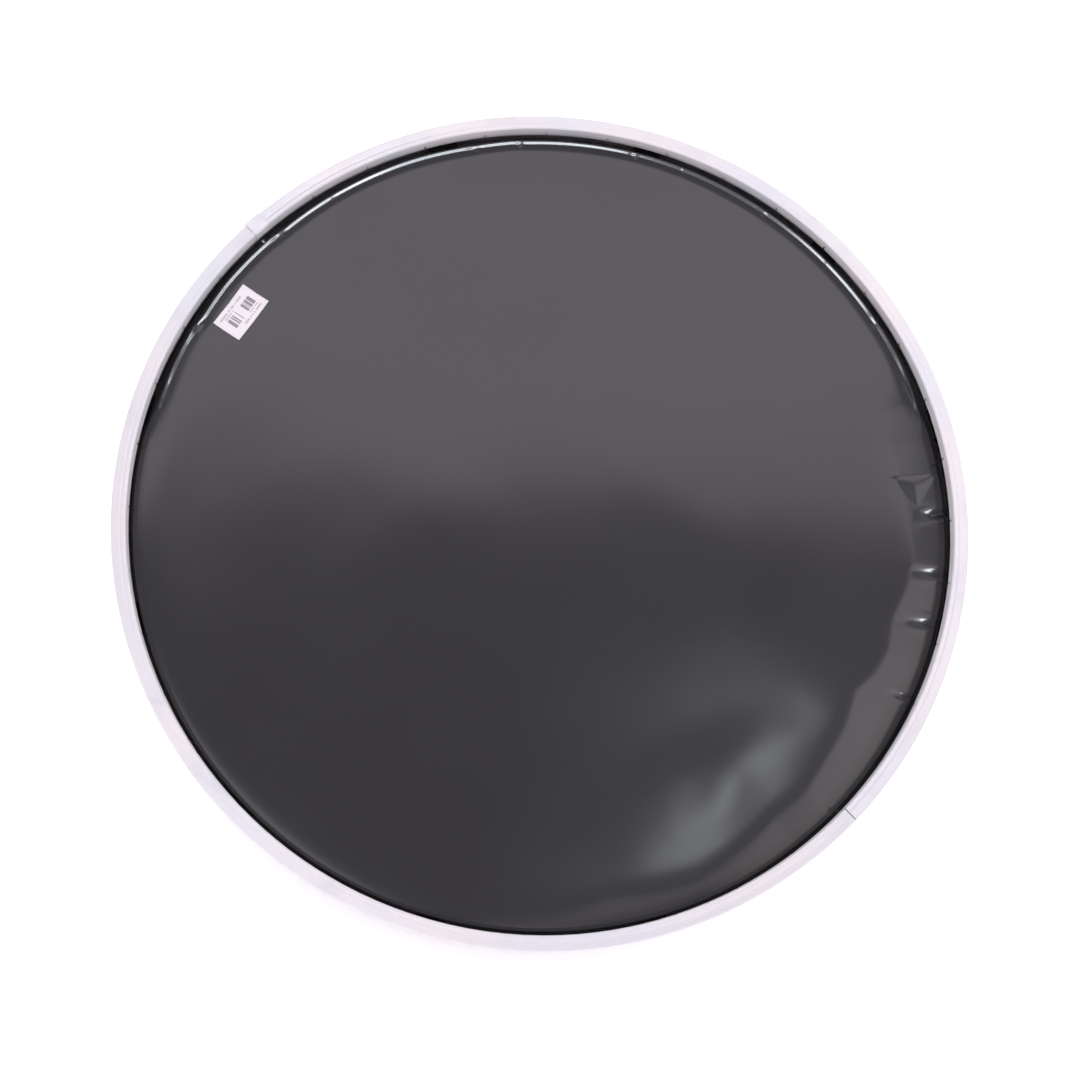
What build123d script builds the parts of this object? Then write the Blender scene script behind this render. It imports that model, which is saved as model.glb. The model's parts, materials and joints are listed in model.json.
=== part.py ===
from build123d import *
import math
import os

# Spare tyre cover: a sheet aluminium ring in two hinged halves that clamps round
# the tread, with a padded, vinyl-skinned face panel standing just behind its lip.
# Frame: millimetres, face up. Z = 0 is the plane of the open rear rim, +Z points
# out of the face, the hinge is at +Y and the lock at -Y. The seams lie on X = 0.

os.makedirs("parts", exist_ok=True)

# ---------------------------------------------------------------- driving sizes
RING_RADIUS = 350.0          # outermost radius of the lip bead
RING_HEIGHT = 210.0          # rear rim to the top of the lip
SHEET = 1.0                  # aluminium sheet
LIP_WIDTH = 12.0             # lip, from its bead in to the return flange
FLANGE_DEPTH = 12.0          # how far the lip's inner flange returns to the rear
HINGE_GAP = 0.8              # gap between the halves at the hinge
LATCH_GAP = 2.0              # gap between the halves at the lock
NOTCH_PITCH = 9.0            # degrees between relief notches in the flange

TRIM_BORE = 335.0            # rubber edge trim round the rear mouth
PAD_BORE = 345.0             # rubber tread pads that grip the tyre
PANEL_RADIUS = 338.4         # face panel over its vinyl
PANEL_REAR_Z = 185.2         # rear face of the vinyl hem
FACE_Z = 199.2               # front of the vinyl
SKIN = 0.8                   # vinyl thickness
BOARD = 3.0                  # backing board thickness
SHOULDER = 24.0              # width of the padded face's rounded shoulder
HEM_WIDTH = 32.0             # vinyl turned in behind the board

HINGE_AXIS_Y = 354.0
HINGE_PIN_RADIUS = 2.0
KNUCKLE_RADIUS = 4.4
HINGE_LOW_Z = 42.0
KNUCKLE_LENGTH = 15.0
KNUCKLES = 5
LEAF = 1.5
LEAF_REACH = 24.0            # leaf width along the wall, from the seam

LOCK_X = -30.0               # axis of the key cylinder
LOCK_Z = 97.0
LOCK_FACE_Y = -362.0         # front face of the lock housing
BARREL_RADIUS = 7.0
TONGUE_LOW_Z = 69.0
TONGUE_HIGH_Z = 87.0

RIVET_SHANK = 1.6
RIVET_HEAD = 3.4
RUNNING = 0.05               # radial clearance of pins and the key cylinder
SLIP = 0.4                   # clearance between pieces that slide past each other

# --------------------------------------------------------------- worked-out sizes
WALL_OUTER = RING_RADIUS - 1.0
WALL_MID = WALL_OUTER - SHEET / 2
WALL_INNER = WALL_OUTER - SHEET
LIP_INNER = RING_RADIUS - LIP_WIDTH
TRIM_HEIGHT = 4.2
BOARD_Z = PANEL_REAR_Z + SKIN
PAD_Z = BOARD_Z + BOARD
HINGE_SEAM = math.degrees(math.asin(HINGE_GAP / 2 / WALL_OUTER))
LATCH_SEAM = math.degrees(math.asin(LATCH_GAP / 2 / WALL_OUTER))
TONGUE_RADIUS = HINGE_AXIS_Y + 352.5     # middle of the tongue, about the hinge axis

# Spans of the two halves, in degrees from +X: the left half is the fixed one.
RIGHT = (-90 + LATCH_SEAM, 90 - HINGE_SEAM)
LEFT = (90 + HINGE_SEAM, 270 - LATCH_SEAM)


# ------------------------------------------------------------------ shape helpers
def turned(profile, span):
    """Revolve a (radius, z) profile about Z over a span of angles."""
    start, end = span
    return Rot(Z=start) * revolve(Plane.XZ * profile, Axis.Z, end - start)


def sector(r_low, r_high, z_low, z_high, span):
    """A curved block between two radii, two heights and two angles."""
    block = Pos((r_low + r_high) / 2, (z_low + z_high) / 2) * Rectangle(r_high - r_low, z_high - z_low)
    return turned(block, span)


def degrees_along(length, radius=WALL_OUTER):
    """The angle that an arc of this length takes up."""
    return math.degrees(length / radius)


def centred(angle, width):
    """A span of the given width in mm centred on an angle."""
    half = degrees_along(width) / 2
    return (angle - half, angle + half)


def on_wall(angle, z, radius=WALL_OUTER):
    """A plane on the wall: its normal points outwards, its Y axis is the ring's Z."""
    a = math.radians(angle)
    out = Vector(math.cos(a), math.sin(a), 0)
    return Plane(origin=out * radius + Vector(0, 0, z), x_dir=Vector(-out.Y, out.X, 0), z_dir=out)


def group(solids):
    """Separate solids that share one node."""
    return Compound(children=list(solids))


def bent_strip(points, radii, thickness):
    """A closed section of constant thickness along a filleted polyline."""
    line = FilletPolyline(*points, radius=radii)
    return make_face(offset(line, thickness / 2, side=Side.BOTH, kind=Kind.ARC).edges())


def rivet(grip, above=0.0):
    """A rivet on the plane z = 0: domed head above, shank and set tail below."""
    head_height = 1.6
    tail_radius = 2.6
    tail_height = 1.0
    base = above + 0.03
    dome_radius = (RIVET_HEAD ** 2 + head_height ** 2) / (2 * head_height)
    half_angle = math.asin(RIVET_HEAD / dome_radius) / 2
    dome_middle = (dome_radius * math.sin(half_angle),
                   base + head_height - dome_radius * (1 - math.cos(half_angle)))
    outline = make_face([
        Line((0, base + head_height), (0, -grip - tail_height)),
        Line((0, -grip - tail_height), (tail_radius, -grip - tail_height)),
        Line((tail_radius, -grip - tail_height), (tail_radius, -grip - 0.02)),
        Line((tail_radius, -grip - 0.02), (RIVET_SHANK, -grip - 0.02)),
        Line((RIVET_SHANK, -grip - 0.02), (RIVET_SHANK, base)),
        Line((RIVET_SHANK, base), (RIVET_HEAD, base)),
        ThreePointArc((RIVET_HEAD, base), dome_middle, (0, base + head_height)),
    ])
    return revolve(Plane.XZ * outline, Axis.Z, 360)


def rivets(places, grip, above=0.0, radius=WALL_OUTER):
    """The same rivet at several (angle, z) places on the wall."""
    return group(on_wall(angle, z, radius).location * rivet(grip, above) for angle, z in places)


def rivet_holes(places, radius=WALL_OUTER):
    """Cutters for the rivets' holes, long enough to pass through every layer."""
    return [on_wall(angle, z, radius).location * Cylinder(RIVET_SHANK + RUNNING, 16)
            for angle, z in places]


# ------------------------------------------------------------- where things are
HINGE_RIVET_Z = [HINGE_LOW_Z + KNUCKLE_LENGTH * n for n in (0.5, 1.9, 3.1, 4.5)]
HINGE_RIVETS_LEFT = [(90 + degrees_along(16), z) for z in HINGE_RIVET_Z]
HINGE_RIVETS_RIGHT = [(90 - degrees_along(16), z) for z in HINGE_RIVET_Z]

CLIP_ANGLES_RIGHT = [-60, -30, 0, 30, 60]
CLIP_ANGLES_LEFT = [120, 150, 180, 210, 240]
CLIP_RIVET_Z = (161.0, 173.0)
CLIP_RIVETS_RIGHT = [(a, z) for a in CLIP_ANGLES_RIGHT for z in CLIP_RIVET_Z]
CLIP_RIVETS_LEFT = [(a, z) for a in CLIP_ANGLES_LEFT for z in CLIP_RIVET_Z]

HOUSING_LOW_Z = 64.0
HOUSING_HIGH_Z = 109.0
HOUSING_LEFT_X = -54.0
HOUSING_RIGHT_X = -6.0
EAR = 9.0                    # fixing ears above and below the lock housing
LOCK_RIVET_Z = (HOUSING_LOW_Z - EAR / 2, HOUSING_HIGH_Z + EAR / 2)
LOCK_RIVETS_FAR = [(270 - degrees_along(45), z) for z in LOCK_RIVET_Z]
LOCK_RIVETS_NEAR = [(270 - degrees_along(15), z) for z in LOCK_RIVET_Z]
LOCK_RIVETS = LOCK_RIVETS_FAR + LOCK_RIVETS_NEAR
TONGUE_RIVETS = [(-90 + degrees_along(x), z) for x in (27, 40) for z in (73.0, 83.0)]
STRAP_RIVETS = [(270 - degrees_along(15), z) for z in (40.0, 134.0, 160.0)]
SLEEVE_RIVETS = [(270 - degrees_along(5), 188.0)]


# ----------------------------------------------------------------- the two halves
def band_section():
    """Ring section: inner flange, lip with its bead, shallow groove and band, wall, rear lip."""
    top = RING_HEIGHT - SHEET / 2
    bead = LIP_INNER + 3.0
    groove = LIP_INNER + 4.2
    points = [
        (LIP_INNER, RING_HEIGHT - FLANGE_DEPTH),
        (LIP_INNER, top),
        (bead, top - 0.1),
        (groove, top - 1.0),
        (groove + 1.3, top - 0.7),
        (WALL_MID + 1.0, top - 0.9),
        (WALL_MID + 1.0, top - 4.5),
        (WALL_MID, top - 5.9),
    ]
    radii = [1.2, 1.2, 0.8, 1.0, 1.2, 1.0, 1.0]
    for rib in (148.0, 28.0):
        points += [(WALL_MID, rib + 5.5), (WALL_MID + 1.0, rib + 2.8),
                   (WALL_MID + 1.0, rib - 2.8), (WALL_MID, rib - 5.5)]
        radii += [2.0, 2.0, 2.0, 2.0]
    points += [(WALL_MID, TRIM_HEIGHT / 2), (TRIM_BORE + 2.5, TRIM_HEIGHT / 2)]
    radii += [4.0]
    return bent_strip(points, radii, SHEET)


def band_half(span, places):
    """One half of the ring, with relief notches in its flange and rivet holes in its wall."""
    half = turned(band_section(), span)
    notch_low = RING_HEIGHT - FLANGE_DEPTH - 2
    count = int((span[1] - span[0]) / NOTCH_PITCH)
    first = (span[0] + span[1]) / 2 - NOTCH_PITCH * (count - 1) / 2
    cutters = [sector(LIP_INNER - 3, LIP_INNER + 3, notch_low, notch_low + 7,
                      centred(first + NOTCH_PITCH * n, 1.3)) for n in range(count)]
    return half - cutters - rivet_holes(places)


band_left = band_half(LEFT, HINGE_RIVETS_LEFT + CLIP_RIVETS_LEFT + LOCK_RIVETS
                      + STRAP_RIVETS + SLEEVE_RIVETS)
band_right = band_half(RIGHT, HINGE_RIVETS_RIGHT + CLIP_RIVETS_RIGHT + TONGUE_RIVETS)


# --------------------------------------------------- rubber trim and tread pads
def rear_trim(span):
    """U-shaped rubber edging on the rear lip; the cover stands on it."""
    outside = Pos(TRIM_BORE + 4.5, TRIM_HEIGHT / 2) * RectangleRounded(9, TRIM_HEIGHT, 0.8)
    slot = Pos(TRIM_BORE + 7.9, TRIM_HEIGHT / 2) * Rectangle(12, SHEET + 0.04)
    return turned(outside - slot, span)


def tread_pads(span):
    """Three ribbed rubber strips glued round the inside of one half."""
    width = (span[1] - span[0]) / 3
    grooves = [Pos(PAD_BORE, z) * Rectangle(2.4, 3) for z in (66.0, 81.0, 96.0, 111.0)]
    section = Pos((PAD_BORE + WALL_INNER) / 2, 88.5) * Rectangle(WALL_INNER - PAD_BORE, 75)
    for groove in grooves:
        section -= groove
    middles = [span[0] + width * (n + 0.5) for n in range(3)]
    return group(turned(section, (m - 20, m + 20)) for m in middles)


rear_trim_left = rear_trim(LEFT)
rear_trim_right = rear_trim(RIGHT)
tread_pads_left = tread_pads(LEFT)
tread_pads_right = tread_pads(RIGHT)


# ------------------------------------------------------------------------- hinge
def hinge_leaf(side, knuckle_numbers, bore, places):
    """A leaf riveted to the wall, with knuckles rolled round the pin; side is -1 or +1."""
    low, high = HINGE_LOW_Z, HINGE_LOW_Z + KNUCKLE_LENGTH * KNUCKLES
    near = 90 - side * degrees_along(HINGE_GAP / 2)
    far = 90 - side * degrees_along(LEAF_REACH)
    leaf = sector(WALL_OUTER + 0.03, WALL_OUTER + LEAF, low, high, (min(near, far), max(near, far)))
    for n in range(KNUCKLES):
        start = low + KNUCKLE_LENGTH * n
        own = n in knuckle_numbers
        inset = 0.15 if own else -0.15
        length = KNUCKLE_LENGTH - 2 * inset
        radius = KNUCKLE_RADIUS if own else KNUCKLE_RADIUS + SLIP
        barrel = Pos(0, HINGE_AXIS_Y, start + KNUCKLE_LENGTH / 2) * Cylinder(radius, length)
        if own:
            web = Pos(side * 3.0, WALL_OUTER + LEAF / 2 + 0.6, start + KNUCKLE_LENGTH / 2)
            leaf += barrel + web * Box(6.0, LEAF, length)
        else:
            leaf -= barrel
    pin_hole = Pos(0, HINGE_AXIS_Y, (low + high) / 2) * Cylinder(bore, high - low + 2)
    return leaf - pin_hole - rivet_holes(places)


hinge_leaf_left = hinge_leaf(-1, (0, 2, 4), HINGE_PIN_RADIUS, HINGE_RIVETS_LEFT)
hinge_leaf_right = hinge_leaf(1, (1, 3), HINGE_PIN_RADIUS + RUNNING, HINGE_RIVETS_RIGHT)

hinge_length = KNUCKLE_LENGTH * KNUCKLES
hinge_pin = Pos(0, HINGE_AXIS_Y, HINGE_LOW_Z + hinge_length / 2) * Cylinder(HINGE_PIN_RADIUS, hinge_length)
for head_z in (HINGE_LOW_Z - 0.7, HINGE_LOW_Z + hinge_length + 0.7):
    hinge_pin += Pos(0, HINGE_AXIS_Y, head_z) * Cylinder(3.4, 1.6)

hinge_rivets_left = rivets(HINGE_RIVETS_LEFT, SHEET, LEAF)
hinge_rivets_right = rivets(HINGE_RIVETS_RIGHT, SHEET, LEAF)


# ------------------------------------------------- strap and sleeve at the lock seam
STRAP = 1.3
STRAP_LOW_Z = 16.0
STRAP_HIGH_Z = 178.0
strap_own = sector(WALL_INNER - STRAP, WALL_INNER - 0.02, STRAP_LOW_Z, STRAP_HIGH_Z,
                   (270 - degrees_along(26), 270))
strap_reach = sector(WALL_INNER - STRAP - SLIP, WALL_INNER - SLIP, STRAP_LOW_Z, STRAP_HIGH_Z,
                     (269.4, 270 + degrees_along(20)))
overlap_strap = strap_own + strap_reach - rivet_holes(STRAP_RIVETS + LOCK_RIVETS_NEAR)
strap_rivets = rivets(STRAP_RIVETS, SHEET + STRAP)

SLEEVE = 0.5
SLEEVE_LOW_Z = 182.0
stand_off = SLIP + SLEEVE / 2            # from the lip's surface to the middle of the sleeve
lip_bore = LIP_INNER - SHEET / 2
sleeve_points = [
    (lip_bore - stand_off, RING_HEIGHT - 9.0),
    (lip_bore - stand_off, RING_HEIGHT + stand_off),
    (RING_RADIUS + stand_off, RING_HEIGHT + stand_off),
    (RING_RADIUS + stand_off, RING_HEIGHT - 8.5),
    (WALL_OUTER + stand_off, RING_HEIGHT - 9.8),
    (WALL_OUTER + stand_off, SLEEVE_LOW_Z),
]
sleeve_section = bent_strip(sleeve_points, [1.9, 1.9, 0.8, 0.8], SLEEVE)
lip_joint_sleeve = turned(sleeve_section, centred(270, 15)) - rivet_holes(SLEEVE_RIVETS)
sleeve_rivet = rivets(SLEEVE_RIVETS, SHEET, SLIP + SLEEVE)


# -------------------------------------------------------------------- face panel
board_radius = PANEL_RADIUS - SKIN
backing_board = Pos(0, 0, BOARD_Z + BOARD / 2) * Cylinder(board_radius, BOARD)


def dome(edge_radius, edge_z, top_z, base_z):
    """Half section of the padded face: flat in the middle, rounded down at its shoulder."""
    flat = edge_radius - SHOULDER
    return make_face([
        Line((0, base_z), (edge_radius, base_z)),
        Line((edge_radius, base_z), (edge_radius, edge_z)),
        TangentArc((flat, top_z), (edge_radius, edge_z), tangent=(1, 0)),
        Line((flat, top_z), (0, top_z)),
        Line((0, top_z), (0, base_z)),
    ])


inner_section = dome(board_radius, PAD_Z + 0.6, FACE_Z - SKIN, PAD_Z)
foam_pad = turned(inner_section, (0, 360))

outer_section = dome(PANEL_RADIUS, PAD_Z + 0.6, FACE_Z, PANEL_REAR_Z)
board_section = Pos(board_radius / 2, BOARD_Z + BOARD / 2) * Rectangle(board_radius, BOARD)
hem_opening = Pos((board_radius - HEM_WIDTH) / 2, PANEL_REAR_Z) * Rectangle(board_radius - HEM_WIDTH, 4)
skin_section = outer_section - inner_section - board_section - hem_opening
vinyl_skin = turned(skin_section, (0, 360))

staple_radius = board_radius - 22
crown = Box(11, 1.2, 0.6)
leg = Box(0.6, 1.2, 3.4)
staple = crown + Pos(-5.2, 0, 1.6) * leg + Pos(5.2, 0, 1.6) * leg
tab_angles = CLIP_ANGLES_RIGHT + CLIP_ANGLES_LEFT
staple_angles = [NOTCH_PITCH * (n + 0.5) for n in range(int(360 / NOTCH_PITCH))]
staple_angles = [a for a in staple_angles
                 if min(abs((a - t + 180) % 360 - 180) for t in tab_angles) > 3]
skin_staples = group(Rot(Z=a) * Pos(staple_radius, 0, PANEL_REAR_Z - 0.3) * Rot(Z=90) * staple
                     for a in staple_angles)

label_plane = Rot(Z=281.5) * Pos(305.0, 0, FACE_Z + 0.08)
barcode_label = label_plane * Box(25.0, 40.0, 0.12)


# -------------------------------------------------- tabs and clips behind the panel
TAB = 1.2
TAB_WIDTH = 20.0
TAB_INNER = 296.0
tab_screw_radii = (303.0, 320.0)
tab_high = PANEL_REAR_Z - 0.03
tab_holes = [Pos(r, 0, tab_high) * Cylinder(1.7, 6) for r in tab_screw_radii]
tab_blank = Pos((TAB_INNER + 345.0) / 2, 0, tab_high - TAB / 2) * Box(345.0 - TAB_INNER, TAB_WIDTH, TAB)
clip_screw_hole = Pos(342.6, 0, tab_high) * Cylinder(1.45, 6)
plain_tab = tab_blank - tab_holes
pierced_tab = plain_tab - clip_screw_hole
edge_tabs = group([Rot(Z=a) * plain_tab for a in CLIP_ANGLES_RIGHT]
                  + [Rot(Z=a) * pierced_tab for a in CLIP_ANGLES_LEFT])

screw_head = Pos(0, 0, -0.9) * Cone(2.2, 3.0, 1.8)
tab_screw = screw_head + Pos(0, 0, 2.4) * Cylinder(1.6, 4.8)
tab_screws = group(Rot(Z=a) * Pos(r, 0, tab_high - TAB - 0.02) * tab_screw
                   for a in tab_angles for r in tab_screw_radii)


def panel_clip(angle, pierced):
    """A bracket riveted inside the wall whose jaw holds the end of one edge tab."""
    width = TAB_WIDTH + 4
    gap = 0.02 if pierced else SLIP
    jaw_low = tab_high - TAB - gap
    jaw_high = tab_high + gap
    span = centred(angle, width)
    clip = sector(WALL_INNER - TAB, WALL_INNER - 0.02, 154, jaw_high + TAB, span)
    clip += sector(338.0, WALL_INNER - 0.02, jaw_low - TAB, jaw_low, span)
    clip += sector(340.0, WALL_INNER - 0.02, jaw_high, jaw_high + TAB, span)
    clip -= rivet_holes([(angle, z) for z in CLIP_RIVET_Z])
    if pierced:
        clip -= Rot(Z=angle) * clip_screw_hole
    return clip


panel_clips_left = group(panel_clip(a, True) for a in CLIP_ANGLES_LEFT)
panel_clips_right = group(panel_clip(a, False) for a in CLIP_ANGLES_RIGHT)
clip_rivets_left = rivets(CLIP_RIVETS_LEFT, SHEET + TAB)
clip_rivets_right = rivets(CLIP_RIVETS_RIGHT, SHEET + TAB)

clip_screw = Pos(0, 0, -2 * TAB - 1.0) * Cone(2.0, 2.8, 1.8) + Cylinder(1.4, 5.6)
clip_screws = group(Rot(Z=a) * Pos(342.6, 0, tab_high - 0.1) * clip_screw for a in CLIP_ANGLES_LEFT)


# -------------------------------------------------------------------------- lock
wall_cylinder = Cylinder(WALL_OUTER + 0.03, 400)
gasket_outer = Cylinder(WALL_OUTER + 1.0, 400)
housing_width = HOUSING_RIGHT_X - HOUSING_LEFT_X
housing_mid_x = (HOUSING_LEFT_X + HOUSING_RIGHT_X) / 2
housing_mid_z = (HOUSING_LOW_Z + HOUSING_HIGH_Z) / 2
housing_height = HOUSING_HIGH_Z - HOUSING_LOW_Z
SHELL = 3.0
FLANGE_STEP = 3.4            # outside of the housing's ears, above the wall


def lock_block(width, height, y_front, y_back=-335.0):
    """A block centred on the lock housing that runs back past the wall."""
    return Pos(housing_mid_x, (y_front + y_back) / 2, housing_mid_z) * Box(width, y_back - y_front, height)


body = lock_block(housing_width, housing_height, LOCK_FACE_Y)
body = fillet(body.edges().filter_by(Axis.Y), 5)
body = fillet(body.faces().sort_by(Axis.Y)[0].edges(), 2)
flange = fillet(lock_block(housing_width, housing_height + 2 * EAR, LOCK_FACE_Y).edges().filter_by(Axis.Y), 6)
flange = flange & Cylinder(WALL_OUTER + FLANGE_STEP, 400)
cavity = lock_block(housing_width - 2 * SHELL, housing_height - 2 * SHELL, -354.4)
mouth = Pos(HOUSING_RIGHT_X, -352.5, (TONGUE_LOW_Z + TONGUE_HIGH_Z) / 2)
mouth = mouth * Box(4 * SHELL, 3.4, TONGUE_HIGH_Z - TONGUE_LOW_Z + 1.6)
barrel_bore = Pos(LOCK_X, LOCK_FACE_Y, LOCK_Z) * Rot(X=90) * Cylinder(BARREL_RADIUS + RUNNING, 40)
lock_housing = body + flange - gasket_outer - cavity - mouth - barrel_bore - rivet_holes(LOCK_RIVETS)

gasket_blank = lock_block(housing_width, housing_height + 2 * EAR, -353.0)
gasket_blank = fillet(gasket_blank.edges().filter_by(Axis.Y), 6)
gasket_ring = gasket_blank & (Cylinder(WALL_OUTER + 0.97, 400) - wall_cylinder)
lock_gasket = gasket_ring - cavity - rivet_holes(LOCK_RIVETS)

lock_rivets = group([*rivets(LOCK_RIVETS_FAR, SHEET, FLANGE_STEP).children,
                     *rivets(LOCK_RIVETS_NEAR, SHEET + STRAP, FLANGE_STEP).children])

barrel_front = LOCK_FACE_Y - 1.6
barrel_back = -352.6
barrel = Pos(LOCK_X, (LOCK_FACE_Y - 0.05 + barrel_back) / 2, LOCK_Z) * Rot(X=90)
barrel = barrel * Cylinder(BARREL_RADIUS, barrel_back - LOCK_FACE_Y + 0.05)
barrel += Pos(LOCK_X, LOCK_FACE_Y - 0.85, LOCK_Z) * Rot(X=90) * Cylinder(8.6, 1.6)
keyway = Pos(LOCK_X, barrel_front, LOCK_Z) * Box(1.8, 14, 8.5)
screw_hole = Pos(LOCK_X, barrel_back, LOCK_Z) * Rot(X=90) * Cylinder(1.5, 3.0)
lock_barrel = barrel - keyway - screw_hole

CAM = 1.4
cam_plane = Pos(LOCK_X, barrel_back + 0.02 + CAM / 2, LOCK_Z) * Rot(X=90)
cam_blank = Cylinder(5.5, CAM) + Pos(7.0, 0, 0) * Box(14, 8, CAM)
cam_blank = cam_blank - Cylinder(1.55, CAM + 2)
lock_cam = cam_plane * fillet(cam_blank.edges().filter_by(Axis.Z).sort_by(Axis.X)[-2:], 2)
cam_screw_head = Pos(LOCK_X, barrel_back + CAM + 0.04 + 0.6, LOCK_Z) * Rot(X=90) * Cylinder(2.7, 1.2)
cam_screw_shank = Pos(LOCK_X, barrel_back, LOCK_Z) * Rot(X=90) * Cylinder(1.45, 2.9)
cam_screw = cam_screw_head + cam_screw_shank


# ------------------------------------------------------- tongue on the moving half
def about_hinge(r_low, r_high, x_low, x_high, z_low, z_high):
    """A strip bent to an arc about the hinge axis, near the lock, between two X values."""
    ring = Cylinder(r_high, z_high - z_low) - Cylinder(r_low, z_high - z_low + 2)
    ring = Pos(0, HINGE_AXIS_Y, (z_low + z_high) / 2) * ring
    window = Pos((x_low + x_high) / 2, -WALL_OUTER, (z_low + z_high) / 2)
    return ring & (window * Box(x_high - x_low, 60, z_high - z_low + 4))


TONGUE = 1.4
tongue_blade = about_hinge(TONGUE_RADIUS - TONGUE / 2, TONGUE_RADIUS + TONGUE / 2, -42, 12,
                           TONGUE_LOW_Z, TONGUE_HIGH_Z)
tongue_foot = sector(WALL_OUTER + 0.03, WALL_OUTER + 4.2, TONGUE_LOW_Z, TONGUE_HIGH_Z,
                     (-90 + degrees_along(8), -90 + degrees_along(46)))
cam_notch = Pos(LOCK_X + 3, -WALL_OUTER - 3, TONGUE_HIGH_Z) * Box(17, 12, 12)
strike_tongue = tongue_blade + tongue_foot - cam_notch - rivet_holes(TONGUE_RIVETS)
tongue_rivets = rivets(TONGUE_RIVETS, SHEET, 4.2)


# ------------------------------------------------------------------------- output
nodes = {
    "band_left": band_left,
    "band_right": band_right,
    "rear_trim_left": rear_trim_left,
    "rear_trim_right": rear_trim_right,
    "tread_pads_left": tread_pads_left,
    "tread_pads_right": tread_pads_right,
    "hinge_leaf_left": hinge_leaf_left,
    "hinge_leaf_right": hinge_leaf_right,
    "hinge_pin": hinge_pin,
    "hinge_rivets_left": hinge_rivets_left,
    "hinge_rivets_right": hinge_rivets_right,
    "overlap_strap": overlap_strap,
    "strap_rivets": strap_rivets,
    "lip_joint_sleeve": lip_joint_sleeve,
    "sleeve_rivet": sleeve_rivet,
    "backing_board": backing_board,
    "foam_pad": foam_pad,
    "vinyl_skin": vinyl_skin,
    "skin_staples": skin_staples,
    "barcode_label": barcode_label,
    "edge_tabs": edge_tabs,
    "tab_screws": tab_screws,
    "panel_clips_left": panel_clips_left,
    "panel_clips_right": panel_clips_right,
    "clip_rivets_left": clip_rivets_left,
    "clip_rivets_right": clip_rivets_right,
    "clip_screws": clip_screws,
    "lock_housing": lock_housing,
    "lock_gasket": lock_gasket,
    "lock_rivets": lock_rivets,
    "lock_barrel": lock_barrel,
    "lock_cam": lock_cam,
    "cam_screw": cam_screw,
    "strike_tongue": strike_tongue,
    "tongue_rivets": tongue_rivets,
}
for name, shape in nodes.items():
    export_step(shape, f"parts/{name}.step")
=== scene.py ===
import json
import math

import bpy
import numpy as np
from mathutils import Matrix, Vector, noise


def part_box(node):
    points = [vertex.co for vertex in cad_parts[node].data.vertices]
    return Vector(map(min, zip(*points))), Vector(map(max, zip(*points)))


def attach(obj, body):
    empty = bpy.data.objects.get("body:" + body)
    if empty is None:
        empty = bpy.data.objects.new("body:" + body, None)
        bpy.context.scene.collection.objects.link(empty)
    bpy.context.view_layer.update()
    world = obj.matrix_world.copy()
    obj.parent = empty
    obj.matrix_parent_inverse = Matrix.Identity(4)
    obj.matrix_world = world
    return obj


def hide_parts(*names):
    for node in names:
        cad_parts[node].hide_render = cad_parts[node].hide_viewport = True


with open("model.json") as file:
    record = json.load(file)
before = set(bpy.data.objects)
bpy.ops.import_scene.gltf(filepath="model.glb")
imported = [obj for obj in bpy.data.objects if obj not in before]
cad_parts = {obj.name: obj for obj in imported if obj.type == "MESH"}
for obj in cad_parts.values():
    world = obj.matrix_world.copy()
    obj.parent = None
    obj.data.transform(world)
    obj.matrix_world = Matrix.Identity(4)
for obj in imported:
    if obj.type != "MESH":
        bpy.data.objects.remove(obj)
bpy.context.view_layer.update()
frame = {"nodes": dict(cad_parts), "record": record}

# ------------------------------------------------------------ sizes from the frame
skin_low, skin_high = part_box("vinyl_skin")
board_low, board_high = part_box("backing_board")
label_low, label_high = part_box("barcode_label")

SKIN_RADIUS = skin_high[0]              # outside of the wrapped edge
FACE_Z = skin_high[2]                   # flat middle of the face
HEM_Z = skin_low[2]                     # underside of the turned-in hem
LIP_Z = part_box("band_left")[1][2]       # top of the ring's lip
BOARD_TOP = board_high[2]
SKIN = board_low[2] - skin_low[2]       # vinyl thickness
EDGE_TOP = BOARD_TOP + 0.0020           # where the shoulder meets the edge bend
EDGE_DROP = FACE_Z - EDGE_TOP           # fall of the face from its middle to there
BEND = 0.0013                           # radius of the tight bend at the edge
HEM_WIDTH = 0.032                       # vinyl turned in behind the board
LABEL_SIZE = (0.042, 0.0264)            # drawn 5 % larger than the plain label of the frame
LABEL_ABOVE = 0.00022                   # height of the label over the vinyl
CORNER_LIFT = 0.0009                    # how far the label's corners curl up

# The direction of the picture's right-hand side, seen from in front of the face.
RIGHT_OF_VIEW = math.radians(135.3)


def view_frame(across, up, z):
    """A point given across and up the picture, as seen from straight in front."""
    c, s = math.cos(RIGHT_OF_VIEW), math.sin(RIGHT_OF_VIEW)
    return Vector((across * c - up * s, across * s + up * c, z))


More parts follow.
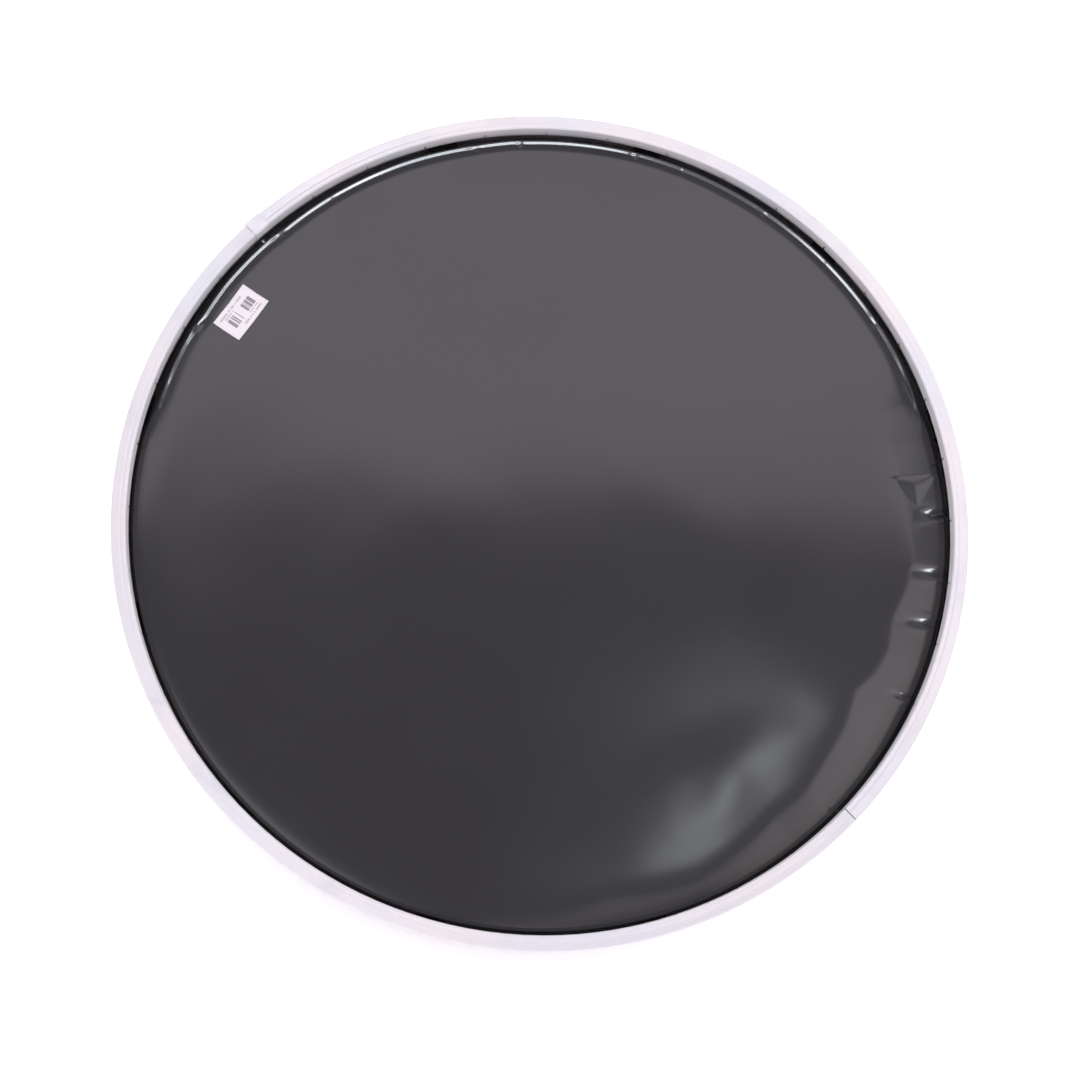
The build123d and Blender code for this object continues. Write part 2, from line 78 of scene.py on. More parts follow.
# ---------------------------------------------------------------- material helper
class Shade:
    """One node-based material and the few moves that its functions below need."""

    def __init__(self, name, colour, roughness, metallic=0.0, **constants):
        self.material = bpy.data.materials.new(name)
        self.material.use_nodes = True
        self.tree = self.material.node_tree
        self.surface = self.tree.nodes["Principled BSDF"]
        self.surface.inputs["Base Color"].default_value = (*colour, 1)
        self.surface.inputs["Roughness"].default_value = roughness
        self.surface.inputs["Metallic"].default_value = metallic
        for socket, value in constants.items():
            self.surface.inputs[socket.replace("_", " ")].default_value = value
        self.place = self.add("ShaderNodeTexCoord").outputs["Object"]

    def add(self, kind, inputs=None, **settings):
        node = self.tree.nodes.new(kind)
        for name, value in settings.items():
            setattr(node, name, value)
        for name, value in (inputs or {}).items():
            if isinstance(value, bpy.types.NodeSocket):
                self.tree.links.new(value, node.inputs[name])
            else:
                node.inputs[name].default_value = value
        return node

    def stretched(self, scale):
        """Object coordinates scaled by a different amount along each axis."""
        return self.add("ShaderNodeMapping", {"Vector": self.place, "Scale": scale}).outputs["Vector"]

    def noise(self, scale, detail=3.0, where=None, roughness=0.55):
        inputs = {"Vector": where or self.place, "Scale": scale, "Detail": detail, "Roughness": roughness}
        return self.add("ShaderNodeTexNoise", inputs).outputs["Fac"]

    def math(self, operation, a, b=0.0):
        node = self.add("ShaderNodeMath", {0: a, 1: b}, operation=operation)
        return node.outputs["Value"]

    def remap(self, value, low, high, to_low, to_high):
        inputs = {"Value": value, "From Min": low, "From Max": high, "To Min": to_low, "To Max": to_high}
        return self.add("ShaderNodeMapRange", inputs).outputs["Result"]

    def blend(self, factor, first, second):
        mix = self.add("ShaderNodeMix", data_type="RGBA")
        colours = [s for s in mix.inputs if s.type == "RGBA"]
        for socket, value in zip(colours, (first, second)):
            if isinstance(value, bpy.types.NodeSocket):
                self.tree.links.new(value, socket)
            else:
                socket.default_value = (*value, 1)
        self.tree.links.new(factor, mix.inputs["Factor"])
        return [s for s in mix.outputs if s.type == "RGBA"][0]

    def set(self, socket, value):
        self.tree.links.new(value, self.surface.inputs[socket])

    def bump(self, height, distance, strength=1.0, under=None):
        inputs = {"Height": height, "Distance": distance, "Strength": strength}
        if under is not None:
            inputs["Normal"] = under
        return self.add("ShaderNodeBump", inputs).outputs["Normal"]


# ---------------------------------------------------------------------- materials
def turned_grain(shade, along, across):
    """Noise drawn out round the Z axis, as rolling and polishing leave on a ring."""
    radius = shade.add("ShaderNodeVectorMath", {0: shade.stretched((1, 1, 0))}, operation="LENGTH")
    where = shade.stretched((along, along, across))
    lines = shade.add("ShaderNodeTexNoise", noise_dimensions="4D",
                      inputs={"Vector": where, "Scale": 1.0, "Detail": 4.0, "Roughness": 0.6,
                              "W": shade.math("MULTIPLY", radius.outputs["Value"], across)})
    return lines.outputs["Fac"]


def ring_aluminium():
    shade = Shade("ring_aluminium", (0.78, 0.75, 0.78), 0.60, 1.0,
                  Anisotropic=0.7, Anisotropic_Rotation=0.25)
    grain = turned_grain(shade, 7.0, 2600.0)
    broad = turned_grain(shade, 3.0, 160.0)
    cloud = shade.noise(9.0, 4.0)
    smudge = shade.noise(34.0, 5.0)
    tint = shade.blend(shade.remap(cloud, 0.35, 0.68, 0, 1), (0.81, 0.765, 0.78), (0.74, 0.745, 0.795))
    tint = shade.blend(shade.remap(smudge, 0.60, 0.78, 0, 0.35), tint, (0.66, 0.655, 0.69))
    shade.set("Base Color", tint)
    rough = shade.remap(grain, 0.3, 0.7, 0.54, 0.66)
    rough = shade.math("ADD", rough, shade.remap(smudge, 0.5, 0.8, 0.0, 0.10))
    shade.set("Roughness", rough)
    round_ring = shade.add("ShaderNodeTangent", direction_type="RADIAL", axis="Z")
    shade.set("Tangent", round_ring.outputs["Tangent"])
    shade.set("Normal", shade.bump(grain, 0.00003, 0.4, shade.bump(broad, 0.00025, 0.08)))
    return shade.material


def black_vinyl():
    shade = Shade("black_vinyl", (0.008, 0.007, 0.008), 0.18, IOR=1.53)
    cells = shade.add("ShaderNodeTexVoronoi", {"Vector": shade.place, "Scale": 1150.0}, feature="F1")
    fine = shade.noise(2600.0, 2.0)
    cloud = shade.noise(5.0, 2.0)
    dust = shade.noise(620.0, 2.0)
    patch = shade.remap(cloud, 0.3, 0.7, 0, 1)
    tint = shade.blend(patch, (0.0070, 0.0062, 0.0072), (0.0085, 0.0077, 0.0086))
    tint = shade.blend(shade.remap(dust, 0.80, 0.86, 0, 0.5), tint, (0.06, 0.06, 0.065))
    shade.set("Base Color", tint)
    shade.set("Roughness", shade.remap(cloud, 0.3, 0.7, 0.16, 0.19))
    pores = shade.bump(cells.outputs["Distance"], 0.00008, 0.05)
    shade.set("Normal", shade.bump(fine, 0.00004, 0.05, pores))
    return shade.material


def rubber(name, grey, roughness):
    shade = Shade(name, (grey, grey, grey), roughness, IOR=1.5)
    cloud = shade.noise(30.0, 4.0)
    fine = shade.noise(1800.0, 3.0)
    patch = shade.remap(cloud, 0.35, 0.7, 0, 1)
    shade.set("Base Color", shade.blend(patch, (grey * 0.7,) * 3, (grey * 1.5,) * 3))
    shade.set("Roughness", shade.remap(cloud, 0.3, 0.7, roughness - 0.08, roughness + 0.08))
    shade.set("Normal", shade.bump(fine, 0.0001, 0.35))
    return shade.material


def hardboard():
    shade = Shade("backing_board", (0.16, 0.095, 0.055), 0.72)
    fibre = shade.noise(140.0, 8.0, shade.stretched((1.0, 2.2, 1.0)), 0.7)
    speck = shade.noise(900.0, 3.0)
    tint = shade.blend(shade.remap(fibre, 0.3, 0.7, 0, 1), (0.105, 0.06, 0.034), (0.215, 0.135, 0.08))
    tint = shade.blend(shade.remap(speck, 0.58, 0.72, 0, 0.6), tint, (0.06, 0.035, 0.02))
    shade.set("Base Color", tint)
    shade.set("Roughness", shade.remap(fibre, 0.3, 0.7, 0.62, 0.8))
    screen = shade.add("ShaderNodeTexVoronoi", {"Vector": shade.place, "Scale": 520.0},
                       feature="DISTANCE_TO_EDGE")
    fibres = shade.bump(fibre, 0.0003, 0.3)
    shade.set("Normal", shade.bump(screen.outputs["Distance"], 0.0004, 0.35, fibres))
    return shade.material


def foam():
    shade = Shade("foam", (0.11, 0.11, 0.115), 0.9)
    cells = shade.add("ShaderNodeTexVoronoi", {"Vector": shade.place, "Scale": 700.0}, feature="F1")
    shade.set("Base Color", shade.blend(shade.noise(60.0), (0.09, 0.09, 0.095), (0.14, 0.14, 0.145)))
    shade.set("Normal", shade.bump(cells.outputs["Distance"], 0.0006, 0.6))
    return shade.material


def plated(name, light, dark, roughness, grain=(900.0, 900.0, 60.0), aniso=0.3):
    """Brushed, plated or plain bright metal, with the grain drawn out along one axis."""
    shade = Shade(name, light, roughness, 1.0, Anisotropic=aniso)
    lines = shade.noise(1.0, 4.0, shade.stretched(grain))
    cloud = shade.noise(45.0, 4.0)
    shade.set("Base Color", shade.blend(shade.remap(cloud, 0.35, 0.72, 0, 1), light, dark))
    rough = shade.remap(lines, 0.3, 0.7, roughness - 0.07, roughness + 0.09)
    shade.set("Roughness", shade.math("ADD", rough, shade.remap(cloud, 0.5, 0.8, 0, 0.12)))
    shade.set("Normal", shade.bump(lines, 0.00003, 0.4))
    return shade.material


def painted(name, grey, roughness):
    shade = Shade(name, (grey, grey, grey), roughness, Coat_Weight=0.15, Coat_Roughness=0.3)
    peel = shade.noise(420.0, 2.0)
    rub = shade.noise(85.0, 6.0)
    tint = shade.blend(shade.remap(rub, 0.66, 0.78, 0, 0.8), (grey, grey, grey), (0.12, 0.12, 0.12))
    shade.set("Base Color", tint)
    shade.set("Roughness", shade.remap(rub, 0.3, 0.75, roughness - 0.06, roughness + 0.12))
    shade.set("Normal", shade.bump(peel, 0.00012, 0.3))
    return shade.material


def stripes(shade, along, count, cover, seed):
    """1 inside dark bars: cells of equal width, each dark or light at random."""
    cell = shade.math("FLOOR", shade.math("MULTIPLY", along, float(count)))
    coin = shade.add("ShaderNodeTexWhiteNoise", {"W": shade.math("ADD", cell, seed)}, noise_dimensions="1D")
    return shade.math("LESS_THAN", coin.outputs["Value"], cover)


def inside(shade, value, low, high):
    above = shade.math("GREATER_THAN", value, low)
    below = shade.math("LESS_THAN", value, high)
    return shade.math("MULTIPLY", above, below)


# Printed areas of the label, each from start to end along it and from low to high up it.
LABEL_BARS = [(0.14, 0.40, 0.34, 0.66, 11.0), (0.56, 0.82, 0.34, 0.70, 47.0)]
LABEL_RULES = [(0.10, 0.66, 0.80, 0.87, 3.0), (0.14, 0.40, 0.71, 0.75, 29.0),
               (0.22, 0.90, 0.13, 0.20, 71.0), (0.56, 0.82, 0.24, 0.29, 5.0)]


def label_paper():
    """White sticker: two blocks of plain bars and a few pale rules, with no characters."""
    shade = Shade("label_paper", (0.66, 0.62, 0.64), 0.42, Coat_Weight=0.25, Coat_Roughness=0.35)
    uv = shade.add("ShaderNodeSeparateXYZ", {"Vector": shade.add("ShaderNodeUVMap").outputs["UV"]})
    u, v = uv.outputs["X"], uv.outputs["Y"]
    ink = 0.0
    for start, end, low, high, seed in LABEL_BARS:
        block = shade.math("MULTIPLY", inside(shade, u, start, end), inside(shade, v, low, high))
        bars = shade.math("MULTIPLY", stripes(shade, u, 64, 0.55, seed), block)
        ink = shade.math("MAXIMUM", ink, shade.math("MULTIPLY", bars, 0.8))
    for start, end, low, high, seed in LABEL_RULES:
        rule = shade.math("MULTIPLY", stripes(shade, u, 34, 0.72, seed), inside(shade, u, start, end))
        rule = shade.math("MULTIPLY", rule, inside(shade, v, low, high))
        ink = shade.math("MAXIMUM", ink, shade.math("MULTIPLY", rule, 0.4))
    paper = shade.blend(shade.noise(220.0), (0.68, 0.64, 0.67), (0.72, 0.675, 0.705))
    shade.set("Base Color", shade.blend(ink, paper, (0.10, 0.09, 0.12)))
    shade.set("Normal", shade.bump(shade.noise(900.0), 0.00005, 0.3))
    return shade.material


MATERIALS = {
    "ring_aluminium": ring_aluminium(),
    "black_vinyl": black_vinyl(),
    "backing_board": hardboard(),
    "foam": foam(),
    "rubber_trim": rubber("rubber_trim", 0.020, 0.62),
    "rubber_pad": rubber("rubber_pad", 0.028, 0.74),
    "staple_steel": plated("staple_steel", (0.72, 0.72, 0.74), (0.5, 0.5, 0.52), 0.3),
    "black_bracket": painted("black_bracket", 0.012, 0.42),
    "stainless": plated("stainless", (0.70, 0.70, 0.71), (0.58, 0.58, 0.60), 0.26,
                        (60.0, 60.0, 1400.0), 0.5),
    "rivet_aluminium": plated("rivet_aluminium", (0.84, 0.84, 0.86), (0.66, 0.66, 0.68), 0.32),
    "lock_zinc": plated("lock_zinc", (0.76, 0.76, 0.78), (0.60, 0.60, 0.62), 0.24, (40.0, 40.0, 900.0)),
    "lock_brass": plated("lock_brass", (0.80, 0.79, 0.76), (0.66, 0.65, 0.62), 0.16),
    "cam_steel": plated("cam_steel", (0.72, 0.69, 0.60), (0.56, 0.55, 0.50), 0.3),
    "screw_black": painted("screw_black", 0.02, 0.36),
    "label_paper": label_paper(),
}


def finish_cad_nodes():
    slot_of = {s["node"]: s["material_slot"] for s in frame["record"]["subparts"]}
    for name, node in frame["nodes"].items():
        material = MATERIALS[slot_of[name]]
        for index in range(len(node.material_slots)):
            node.material_slots[index].material = material


# --------------------------------------------------------- the vinyl face's shape
def smooth(value):
    value = np.clip(value, 0.0, 1.0)
    return value * value * (3 - 2 * value)


def bell(distance, width):
    return np.exp(-(distance / width) ** 2)


def turn_between(angle, centre):
    """Signed angle in degrees from centre to angle, within half a turn."""
    return (angle - centre + 180.0) % 360.0 - 180.0


# Where the vinyl is pulled flat towards the edge: angle and width of the pulled strip.
PULLED = [(-96, 0.017), (-88, 0.021), (-80, 0.027), (-74, 0.022), (-67, 0.020), (-60, 0.026),
          (-53, 0.032), (-47, 0.032), (-41, 0.037), (-35, 0.040), (-29.5, 0.047), (-25.5, 0.039),
          (-21.5, 0.036), (-16.5, 0.040), (-11.5, 0.034), (-7, 0.031), (-1, 0.036), (5.5, 0.041),
          (12, 0.045), (18, 0.040), (26, 0.022)]

# How far inside its usual line the far roll runs: angle and distance.
WANDER = [(26, 0.0), (60, 0.0003), (76, -0.0002), (92.5, 0.0003), (94.5, -0.0002),
          (101, 0.0006), (111, 0.0), (124, 0.0006), (131.5, 0.0014), (135, 0.0003),
          (144, 0.0), (149.5, 0.0012), (152, -0.0004), (162, 0.0004), (172, 0.0)]

# Small folds over the far roll, one where each staple pulls hardest: angle, depth, width in degrees.
GATHERS = [(31, 0.0003, 0.6), (42.5, 0.0002, 0.4), (55, 0.0004, 0.5), (68.5, 0.0002, 0.3),
           (76.1, 0.0005, 0.3), (93.6, 0.0008, 0.28), (100.2, 0.0004, 0.6), (123.5, 0.0003, 0.7),
           (132.8, 0.0007, 0.8), (151.3, 0.0015, 0.8), (162, 0.0003, 0.8)]

# Short deep dimples at the edge: angle, length, depth, half width.
DIMPLES = [(-46.8, 0.014, 0.0006, 0.0018), (-27.3, 0.026, 0.0011, 0.0026), (-16.0, 0.032, 0.0017, 0.0031),
           (-8.5, 0.034, 0.0018, 0.0033), (0.4, 0.031, 0.0023, 0.0038)]


def seen_from_front(angle):
    """Degrees anticlockwise from the picture's right-hand side, from -180 to 180."""
    return turn_between(angle, math.degrees(RIGHT_OF_VIEW))


def soft_ramp(value, width):
    """0 below nothing, then the value itself, with a rounded corner between."""
    return width * np.logaddexp(0.0, value / width)


def crisp_share(seen):
    """1 along the far side, where the edge stands up as a roll."""
    return smooth((seen - 12) / 14) * smooth((172 - seen) / 14)


def last_fall(inset):
    """0 on the face, rising evenly to 1 at the edge bend over the last steep stretch."""
    stretch = 0.0017
    return soft_ramp(stretch - (inset - BEND), 0.0003) / stretch


def raised_roll(seen, inset):
    """The far side: a gentle lean up, a steep flank and a crest, then the fall to the edge."""
    start, foot, crest = 0.0175, 0.0114, 0.0090
    brow = crest - 0.0006
    lean, flank, sharp = 0.28, 0.82, 0.0002
    moved = inset - np.interp(seen, *zip(*WANDER)) * smooth((inset - BEND) / 0.006)
    fall = -lean * (soft_ramp(start - moved, 0.0014) - soft_ramp(foot - moved, sharp))
    fall -= flank * (soft_ramp(foot - moved, sharp) - soft_ramp(crest - moved, sharp))
    top = lean * (start - foot) + flank * (foot - crest)
    return fall + (EDGE_DROP + top) / (brow - BEND) * soft_ramp(brow - moved, sharp)


def rounded_edge(inset):
    """Elsewhere: an arc that ends in the last steep stretch."""
    arc, arc_start, arc_run, arc_drop = 0.125, 0.031, 0.029, 0.0034
    run = np.clip(arc_start - inset, 0.0, arc_run)
    return arc - np.sqrt(arc ** 2 - run ** 2) + (EDGE_DROP - arc_drop) * last_fall(inset)


def pulled_strip(seen, inset):
    """The slack side: a strip pulled to a straight slope, part of its bend sharp, part eased."""
    slope, kink, early = 0.165, 0.45, 0.008
    width = np.interp(seen, *zip(*PULLED))
    sharp = soft_ramp(width - inset, 0.0009)
    eased = soft_ramp(width + early - inset, 0.0035)
    left = EDGE_DROP - slope * (width + (1 - kink) * early - BEND)
    return slope * (kink * sharp + (1 - kink) * eased) + left * last_fall(inset)


def shoulder(angle, inset):
    """How far the face falls towards its edge: a raised roll, rounded or pulled flat by turns."""
    seen = seen_from_front(angle)
    crisp = crisp_share(seen)
    pulled = smooth((seen + 96) / 16) * (1 - crisp) * (seen < 90)
    plain = 1 - crisp - pulled
    raised = crisp * raised_roll(seen, inset)
    return raised + pulled * pulled_strip(seen, inset) + plain * rounded_edge(inset)


def gathers(angle, inset):
    """Small folds over the far roll, each a nick with a slight lift beside it."""
    height = np.zeros_like(inset)
    seen = seen_from_front(angle)
    for centre, depth, width in GATHERS:
        away = seen - centre
        fold = -bell(away, width) + 0.5 * bell(away - 1.8 * width, width * 1.2)
        height += depth * fold * bell(inset - 0.0098, 0.0026)
    return height


def dimples(angle, inset):
    """Deeper folds on the slack side, each a dimple that runs in from the edge."""
    height = np.zeros_like(inset)
    seen = seen_from_front(angle)
    for centre, length, depth, width in DIMPLES:
        along = np.clip(inset / length, 0.0, 1.0)
        side = np.radians(seen - centre) * SKIN_RADIUS - 0.0040 * (1 - along)
        spread = width * (0.8 + 0.4 * along)
        fold = -bell(side, spread) + 0.2 * bell(np.abs(side) - 2.1 * spread, 1.2 * spread)
        height += depth * fold * np.sin(np.pi * along ** 0.5) ** 1.2
    return height


def slack(angle, radius):
    """Long shallow waves of the loose vinyl, with quicker ones where it has gathered slack."""
    a = np.radians(angle)
    x, y = radius * np.cos(a), radius * np.sin(a)
    slow, quick, fine = (np.empty_like(radius) for _ in range(3))
    for index, (px, py) in enumerate(zip(x.flat, y.flat)):
        slow.flat[index] = noise.noise(Vector((px * 3.3 + 4.2, py * 3.3 - 1.7, 0.4)))
        quick.flat[index] = noise.noise(Vector((px * 11.0 - 2.0, py * 11.0 + 6.0, 3.1)))
        fine.flat[index] = noise.noise(Vector((px * 24.0 + 1.3, py * 24.0 - 5.0, 7.7)))
    inset = SKIN_RADIUS - radius
    lively = bell(turn_between(seen_from_front(angle), -55), 26) * bell(inset - 0.085, 0.05)
    quick = 0.0007 * quick * (1 + lively) + 0.0006 * fine * lively
    return 0.0075 * slow * smooth(inset / 0.14) + quick * smooth((inset - 0.004) / 0.05)


def crease(angle, radius):
    """The three-cornered fold where the slack side ends."""
    side = np.radians(seen_from_front(angle) - 7.0) * radius
    inset = SKIN_RADIUS - radius
    along = smooth((0.049 - inset) / 0.010) * smooth((inset - 0.001) / 0.010)
    corner = np.clip(1 - np.abs(inset - 0.027) / 0.022, 0.04, 1)
    below = np.clip(-side / (0.030 * corner), 0.0, 1.0)
    valley = -0.0010 * corner * np.sin(np.pi * below ** 0.7) ** 2 * (side < 0)
    ridge = 0.0005 * np.exp(-np.abs(side) / np.where(side > 0, 0.014, 0.006))
    return along * (valley + ridge)


def face_rise(angle, radius):
    """Height of the face above the level of its flat middle."""
    inset = SKIN_RADIUS - radius
    rise = slack(angle, radius) + gathers(angle, inset) + dimples(angle, inset)
    return rise + crease(angle, radius) - shoulder(angle, inset)


def skin_stations():
    """Radius and height of each ring of points from the middle out; None follows the face."""
    corner = SKIN_RADIUS - BEND
    stations = []
    ends = [0.008, SKIN_RADIUS - 0.055, SKIN_RADIUS - 0.0180, SKIN_RADIUS - 0.0060, corner - 0.0001]
    for low, high, step in zip(ends, ends[1:], (0.0065, 0.0012, 0.0003, 0.0005)):
        stations += [(r, None) for r in np.arange(low, high, step)]
    for turn in (0.3, 0.6, 0.85, 1.0):
        bend = turn * math.pi / 2
        fall = EDGE_DROP + BEND * 1.7 * (1 - math.cos(bend))
        stations.append((corner + BEND * math.sin(bend), FACE_Z - fall))
    stations.append((SKIN_RADIUS, HEM_Z + 0.0012))
    for turn in (0.5, 1.0, 1.5):
        stations.append((SKIN_RADIUS - 0.001 * (1 - math.cos(turn)), HEM_Z + 0.001 * (1 - math.sin(turn))))
    stations += [(r, HEM_Z) for r in np.linspace(SKIN_RADIUS - 0.002, SKIN_RADIUS - HEM_WIDTH, 8)]
    return stations


def disc_mesh(name, stations, angles, sink=0.0):
    """A mesh of rings joined by quads, closed by a fan in the middle; sink lowers the face."""
    segments = len(angles)
    hub = FACE_Z - sink + float(face_rise(np.zeros(1), np.zeros(1))[0])
    points = [(0.0, 0.0, hub)]
    for radius, z in stations:
        if z is None:
            heights = FACE_Z - sink + face_rise(angles, np.full(segments, radius))
        else:
            heights = np.full(segments, z)
        turns = np.radians(angles)
        points += [(radius * math.cos(a), radius * math.sin(a), h) for a, h in zip(turns, heights)]
    faces = [(0, 1 + n, 1 + (n + 1) % segments) for n in range(segments)]
    for ring in range(len(stations) - 1):
        first, second = 1 + ring * segments, 1 + (ring + 1) * segments
        for n in range(segments):
            m = (n + 1) % segments
            faces.append((first + n, second + n, second + m, first + m))
    mesh = bpy.data.meshes.new(name)
    mesh.from_pydata(points, [], faces)
    mesh.shade_smooth()
    piece = bpy.data.objects.new(name, mesh)
    bpy.context.scene.collection.objects.link(piece)
    return piece


def make_skin():
    detailed = np.arange(-46, 172, 0.16)
    seen = np.concatenate([detailed, np.arange(172, 314, 0.4)])
    angles = np.sort((seen + math.degrees(RIGHT_OF_VIEW)) % 360.0)
    skin = disc_mesh("vinyl_face", skin_stations(), angles)
    thickness = skin.modifiers.new("thickness", "SOLIDIFY")
    thickness.thickness = SKIN * 0.9
    thickness.offset = -1.0
    skin.data.materials.append(MATERIALS["black_vinyl"])
    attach(skin, "fixed_half")
    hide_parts("vinyl_skin")
    return skin


# -------------------------------------------------------------------- foam and label
def make_foam():
    gap = SKIN + 0.0003
    rim = SKIN_RADIUS - 0.0105
    segments = 240
    bottom = BOARD_TOP + 0.0002
    stations = [(r, None) for r in np.arange(0.012, rim, 0.006)] + [(rim, None), (rim + 0.001, bottom)]
    stations += [(r, bottom) for r in np.linspace(rim - 0.02, 0.02, 12)]
    pad = disc_mesh("foam_padding", stations, np.arange(segments) * 360.0 / segments, sink=gap)
    corners = [tuple(vertex.co) for vertex in pad.data.vertices] + [(0, 0, bottom)]
    last = 1 + (len(stations) - 1) * segments
    closed = [tuple(face.vertices) for face in pad.data.polygons]
    closed += [(last + (n + 1) % segments, last + n, len(corners) - 1) for n in range(segments)]
    pad.data.clear_geometry()
    pad.data.from_pydata(corners, [], closed)
    pad.data.shade_smooth()
    pad.data.materials.append(MATERIALS["foam"])
    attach(pad, "fixed_half")
    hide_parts("foam_pad")


def make_label():
    """A sticker that follows the vinyl, with its corners a little lifted."""
    middle = Vector(((label_low[0] + label_high[0]) / 2, (label_low[1] + label_high[1]) / 2, 0))
    out = middle.normalized()
    side = Vector((-out.y, out.x, 0))
    long_side, short_side = LABEL_SIZE
    columns, rows = 32, 20
    points, uvs, faces = [], [], []
    for j in range(rows + 1):
        for i in range(columns + 1):
            u, v = i / columns, j / rows
            spot = middle + side * (u - 0.5) * long_side + out * (v - 0.5) * short_side
            angle, radius = math.degrees(math.atan2(spot.y, spot.x)), spot.length
            base = FACE_Z + float(face_rise(np.array([angle]), np.array([radius]))[0])
            corner = max(abs(u - 0.5), abs(v - 0.5)) * 2
            lift = CORNER_LIFT * max(0.0, corner - 0.8) / 0.2 * abs(u - 0.5) * 2 * abs(v - 0.5) * 2
            points.append((spot.x, spot.y, base + LABEL_ABOVE + lift))
            uvs.append((u, 1 - v))
    for j in range(rows):
        for i in range(columns):
            a = j * (columns + 1) + i
            faces.append((a, a + columns + 1, a + columns + 2, a + 1))
    mesh = bpy.data.meshes.new("bar_label")
    mesh.from_pydata(points, [], faces)
    layer = mesh.uv_layers.new(name="UVMap")
    for loop in mesh.loops:
        layer.data[loop.index].uv = uvs[loop.vertex_index]
    mesh.shade_smooth()
    label = bpy.data.objects.new("bar_label", mesh)
    bpy.context.scene.collection.objects.link(label)
    thickness = label.modifiers.new("thickness", "SOLIDIFY")
    thickness.thickness = 0.00012
    thickness.offset = -1.0
    mesh.materials.append(MATERIALS["label_paper"])
    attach(label, "fixed_half")
    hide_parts("barcode_label")


# ---------------------------------------------------------- floor, lights, camera
def make_floor():
    mesh = bpy.data.meshes.new("floor")
    half = 6.0
    corners = [(-half, -half, 0), (half, -half, 0), (half, half, 0), (-half, half, 0)]
    mesh.from_pydata(corners, [], [(0, 1, 2, 3)])
    floor = bpy.data.objects.new("floor", mesh)
    bpy.context.scene.collection.objects.link(floor)
    shade = Shade("floor_pale_painted_glow", (0.92, 0.92, 0.92), 0.8, Emission_Color=(1, 1, 1, 1))
    shade.set("Base Color", shade.blend(shade.noise(3.0), (0.93, 0.93, 0.93), (0.91, 0.91, 0.91)))
    # Painted light: beyond the cover's rim the floor glows, washing out the cover's shadows on it; under
    # and just round the cover it does not glow.
    from_middle = shade.add("ShaderNodeVectorMath", {0: shade.place}, operation="LENGTH").outputs["Value"]
    no_glow, full_glow, glow = 0.352, 0.42, 0.4
    shade.set("Emission Strength", shade.remap(from_middle, no_glow, full_glow, 0.0, glow))
    mesh.materials.append(shade.material)


# Soft panels that face the cover from above: name, place across and up the picture, turn in
# degrees, size, radiance, colour.
PANEL_HEIGHT = 1.6                      # above the face
PANELS = [("overhead_panel", (0.05, 0.83), 0, (2.6, 0.84), 1.72, (1.0, 0.955, 1.0)),
          ("highlight_strip", (0.40, -0.12), 60, (0.34, 0.07), 10.0, (0.90, 0.95, 1.0)),
          ("right_bank", (1.25, -0.35), 70, (1.2, 0.7), 1.7, (1.0, 0.90, 0.92)),
          ("near_bank", (0.45, -1.25), 10, (1.1, 0.7), 1.7, (1.0, 0.90, 0.92)),
          ("left_bank", (-0.95, -0.95), -45, (2.2, 0.8), 2.0, (1.0, 0.97, 1.0))]

# Long bright lights beside the cover, aimed at its middle: name, direction, height, width.
WINDOWS = [("near_window", -75, 2.25, 2.6), ("right_window", -30, 1.87, 2.0),
           ("left_window", -150, 2.0, 0.9)]
WINDOW_AWAY, WINDOW_TALL, WINDOW_RADIANCE = 2.4, 0.42, 27.0
WINDOW_COLOUR = (0.86, 0.93, 1.0)
WALL_LIGHT = 1.05                       # strength of the surroundings


def area_light(name, place, aim, along, size, radiance, colour=(1, 1, 1)):
    """A rectangular soft light at place, facing aim, its first side along a direction."""
    light = bpy.data.lights.new(name, "AREA")
    light.shape = "RECTANGLE"
    light.size, light.size_y = size
    light.energy = radiance * math.pi * size[0] * size[1]
    light.color = colour
    back = (place - aim).normalized()
    across = (along - back * along.dot(back)).normalized()
    turn = Matrix((across, back.cross(across), back)).transposed()
    lamp = bpy.data.objects.new(name, light)
    lamp.matrix_world = Matrix.Translation(place) @ turn.to_4x4()
    bpy.context.scene.collection.objects.link(lamp)
    return lamp


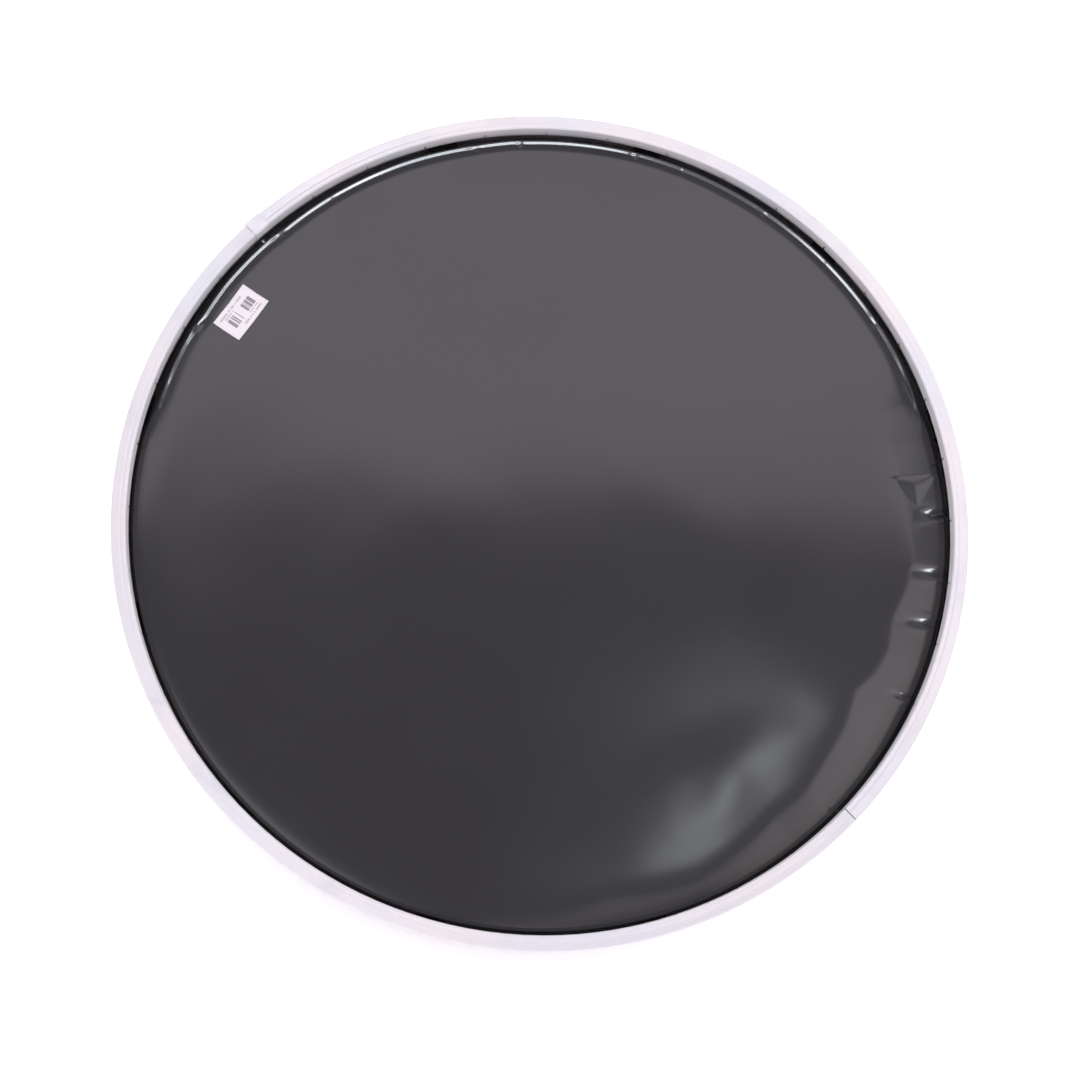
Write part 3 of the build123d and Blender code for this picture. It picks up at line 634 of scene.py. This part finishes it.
def studio_world():
    """Soft white walls all round and a dimmer ceiling overhead."""
    world = bpy.data.worlds.new("studio")
    world.use_nodes = True
    tree = world.node_tree
    background = tree.nodes["Background"]
    place = tree.nodes.new("ShaderNodeTexCoord")
    height = tree.nodes.new("ShaderNodeSeparateXYZ")
    level = tree.nodes.new("ShaderNodeValToRGB")
    tree.links.new(place.outputs["Generated"], height.inputs["Vector"])
    tree.links.new(height.outputs["Z"], level.inputs["Fac"])
    tree.links.new(level.outputs["Color"], background.inputs["Color"])
    ramp = level.color_ramp
    ramp.interpolation = "EASE"
    ramp.elements[0].position = 0.60
    ramp.elements[0].color = (1.0, 0.99, 1.02, 1)
    ramp.elements[1].position = 0.88
    ramp.elements[1].color = (0.47, 0.455, 0.50, 1)
    background.inputs["Strength"].default_value = WALL_LIGHT
    bpy.context.scene.world = world


def make_lights(skin):
    """The surroundings, the panels above, and the windows, which show only in the vinyl."""
    studio_world()
    bpy.context.scene.view_settings.view_transform = "Standard"
    for name, (x, y), turn, size, radiance, colour in PANELS:
        turn = math.radians(turn)
        along = view_frame(math.cos(turn), math.sin(turn), 0)
        place = view_frame(x, y, FACE_Z + PANEL_HEIGHT)
        area_light(name, place, view_frame(x, y, 0), along, size, radiance, colour)
    glossy = bpy.data.collections.new("shows_windows")
    glossy.objects.link(skin)
    for name, turn, height, width in WINDOWS:
        turn = math.radians(turn)
        place = view_frame(WINDOW_AWAY * math.cos(turn), WINDOW_AWAY * math.sin(turn), FACE_Z + height)
        along = view_frame(-math.sin(turn), math.cos(turn), 0)
        window = area_light(name, place, Vector((0, 0, FACE_Z)), along, (width, WINDOW_TALL),
                            WINDOW_RADIANCE, WINDOW_COLOUR)
        window.light_linking.receiver_collection = glossy


def make_camera():
    """The view from a little below straight in front, as the face is seen."""
    tilt = math.radians(13.23)          # away from straight in front
    swing = math.radians(257.43)        # towards which side, seen from in front
    distance = 1.396
    aim = view_frame(-0.0041, -0.0249, LIP_Z)
    side = view_frame(math.cos(swing), math.sin(swing), 0)
    back = side * math.sin(tilt) + Vector((0, 0, math.cos(tilt)))
    up = view_frame(0, 1, 0)
    across = up.cross(back).normalized()
    rise = back.cross(across)
    data = bpy.data.cameras.new("camera")
    data.sensor_width = 36.0
    data.lens = 57.37
    camera = bpy.data.objects.new("camera", data)
    turn = Matrix((across, rise, back)).transposed()
    camera.matrix_world = Matrix.Translation(aim + back * distance) @ turn.to_4x4()
    bpy.context.scene.collection.objects.link(camera)
    bpy.context.scene.camera = camera


finish_cad_nodes()
make_camera()
make_floor()
make_foam()
make_lights(make_skin())
make_label()
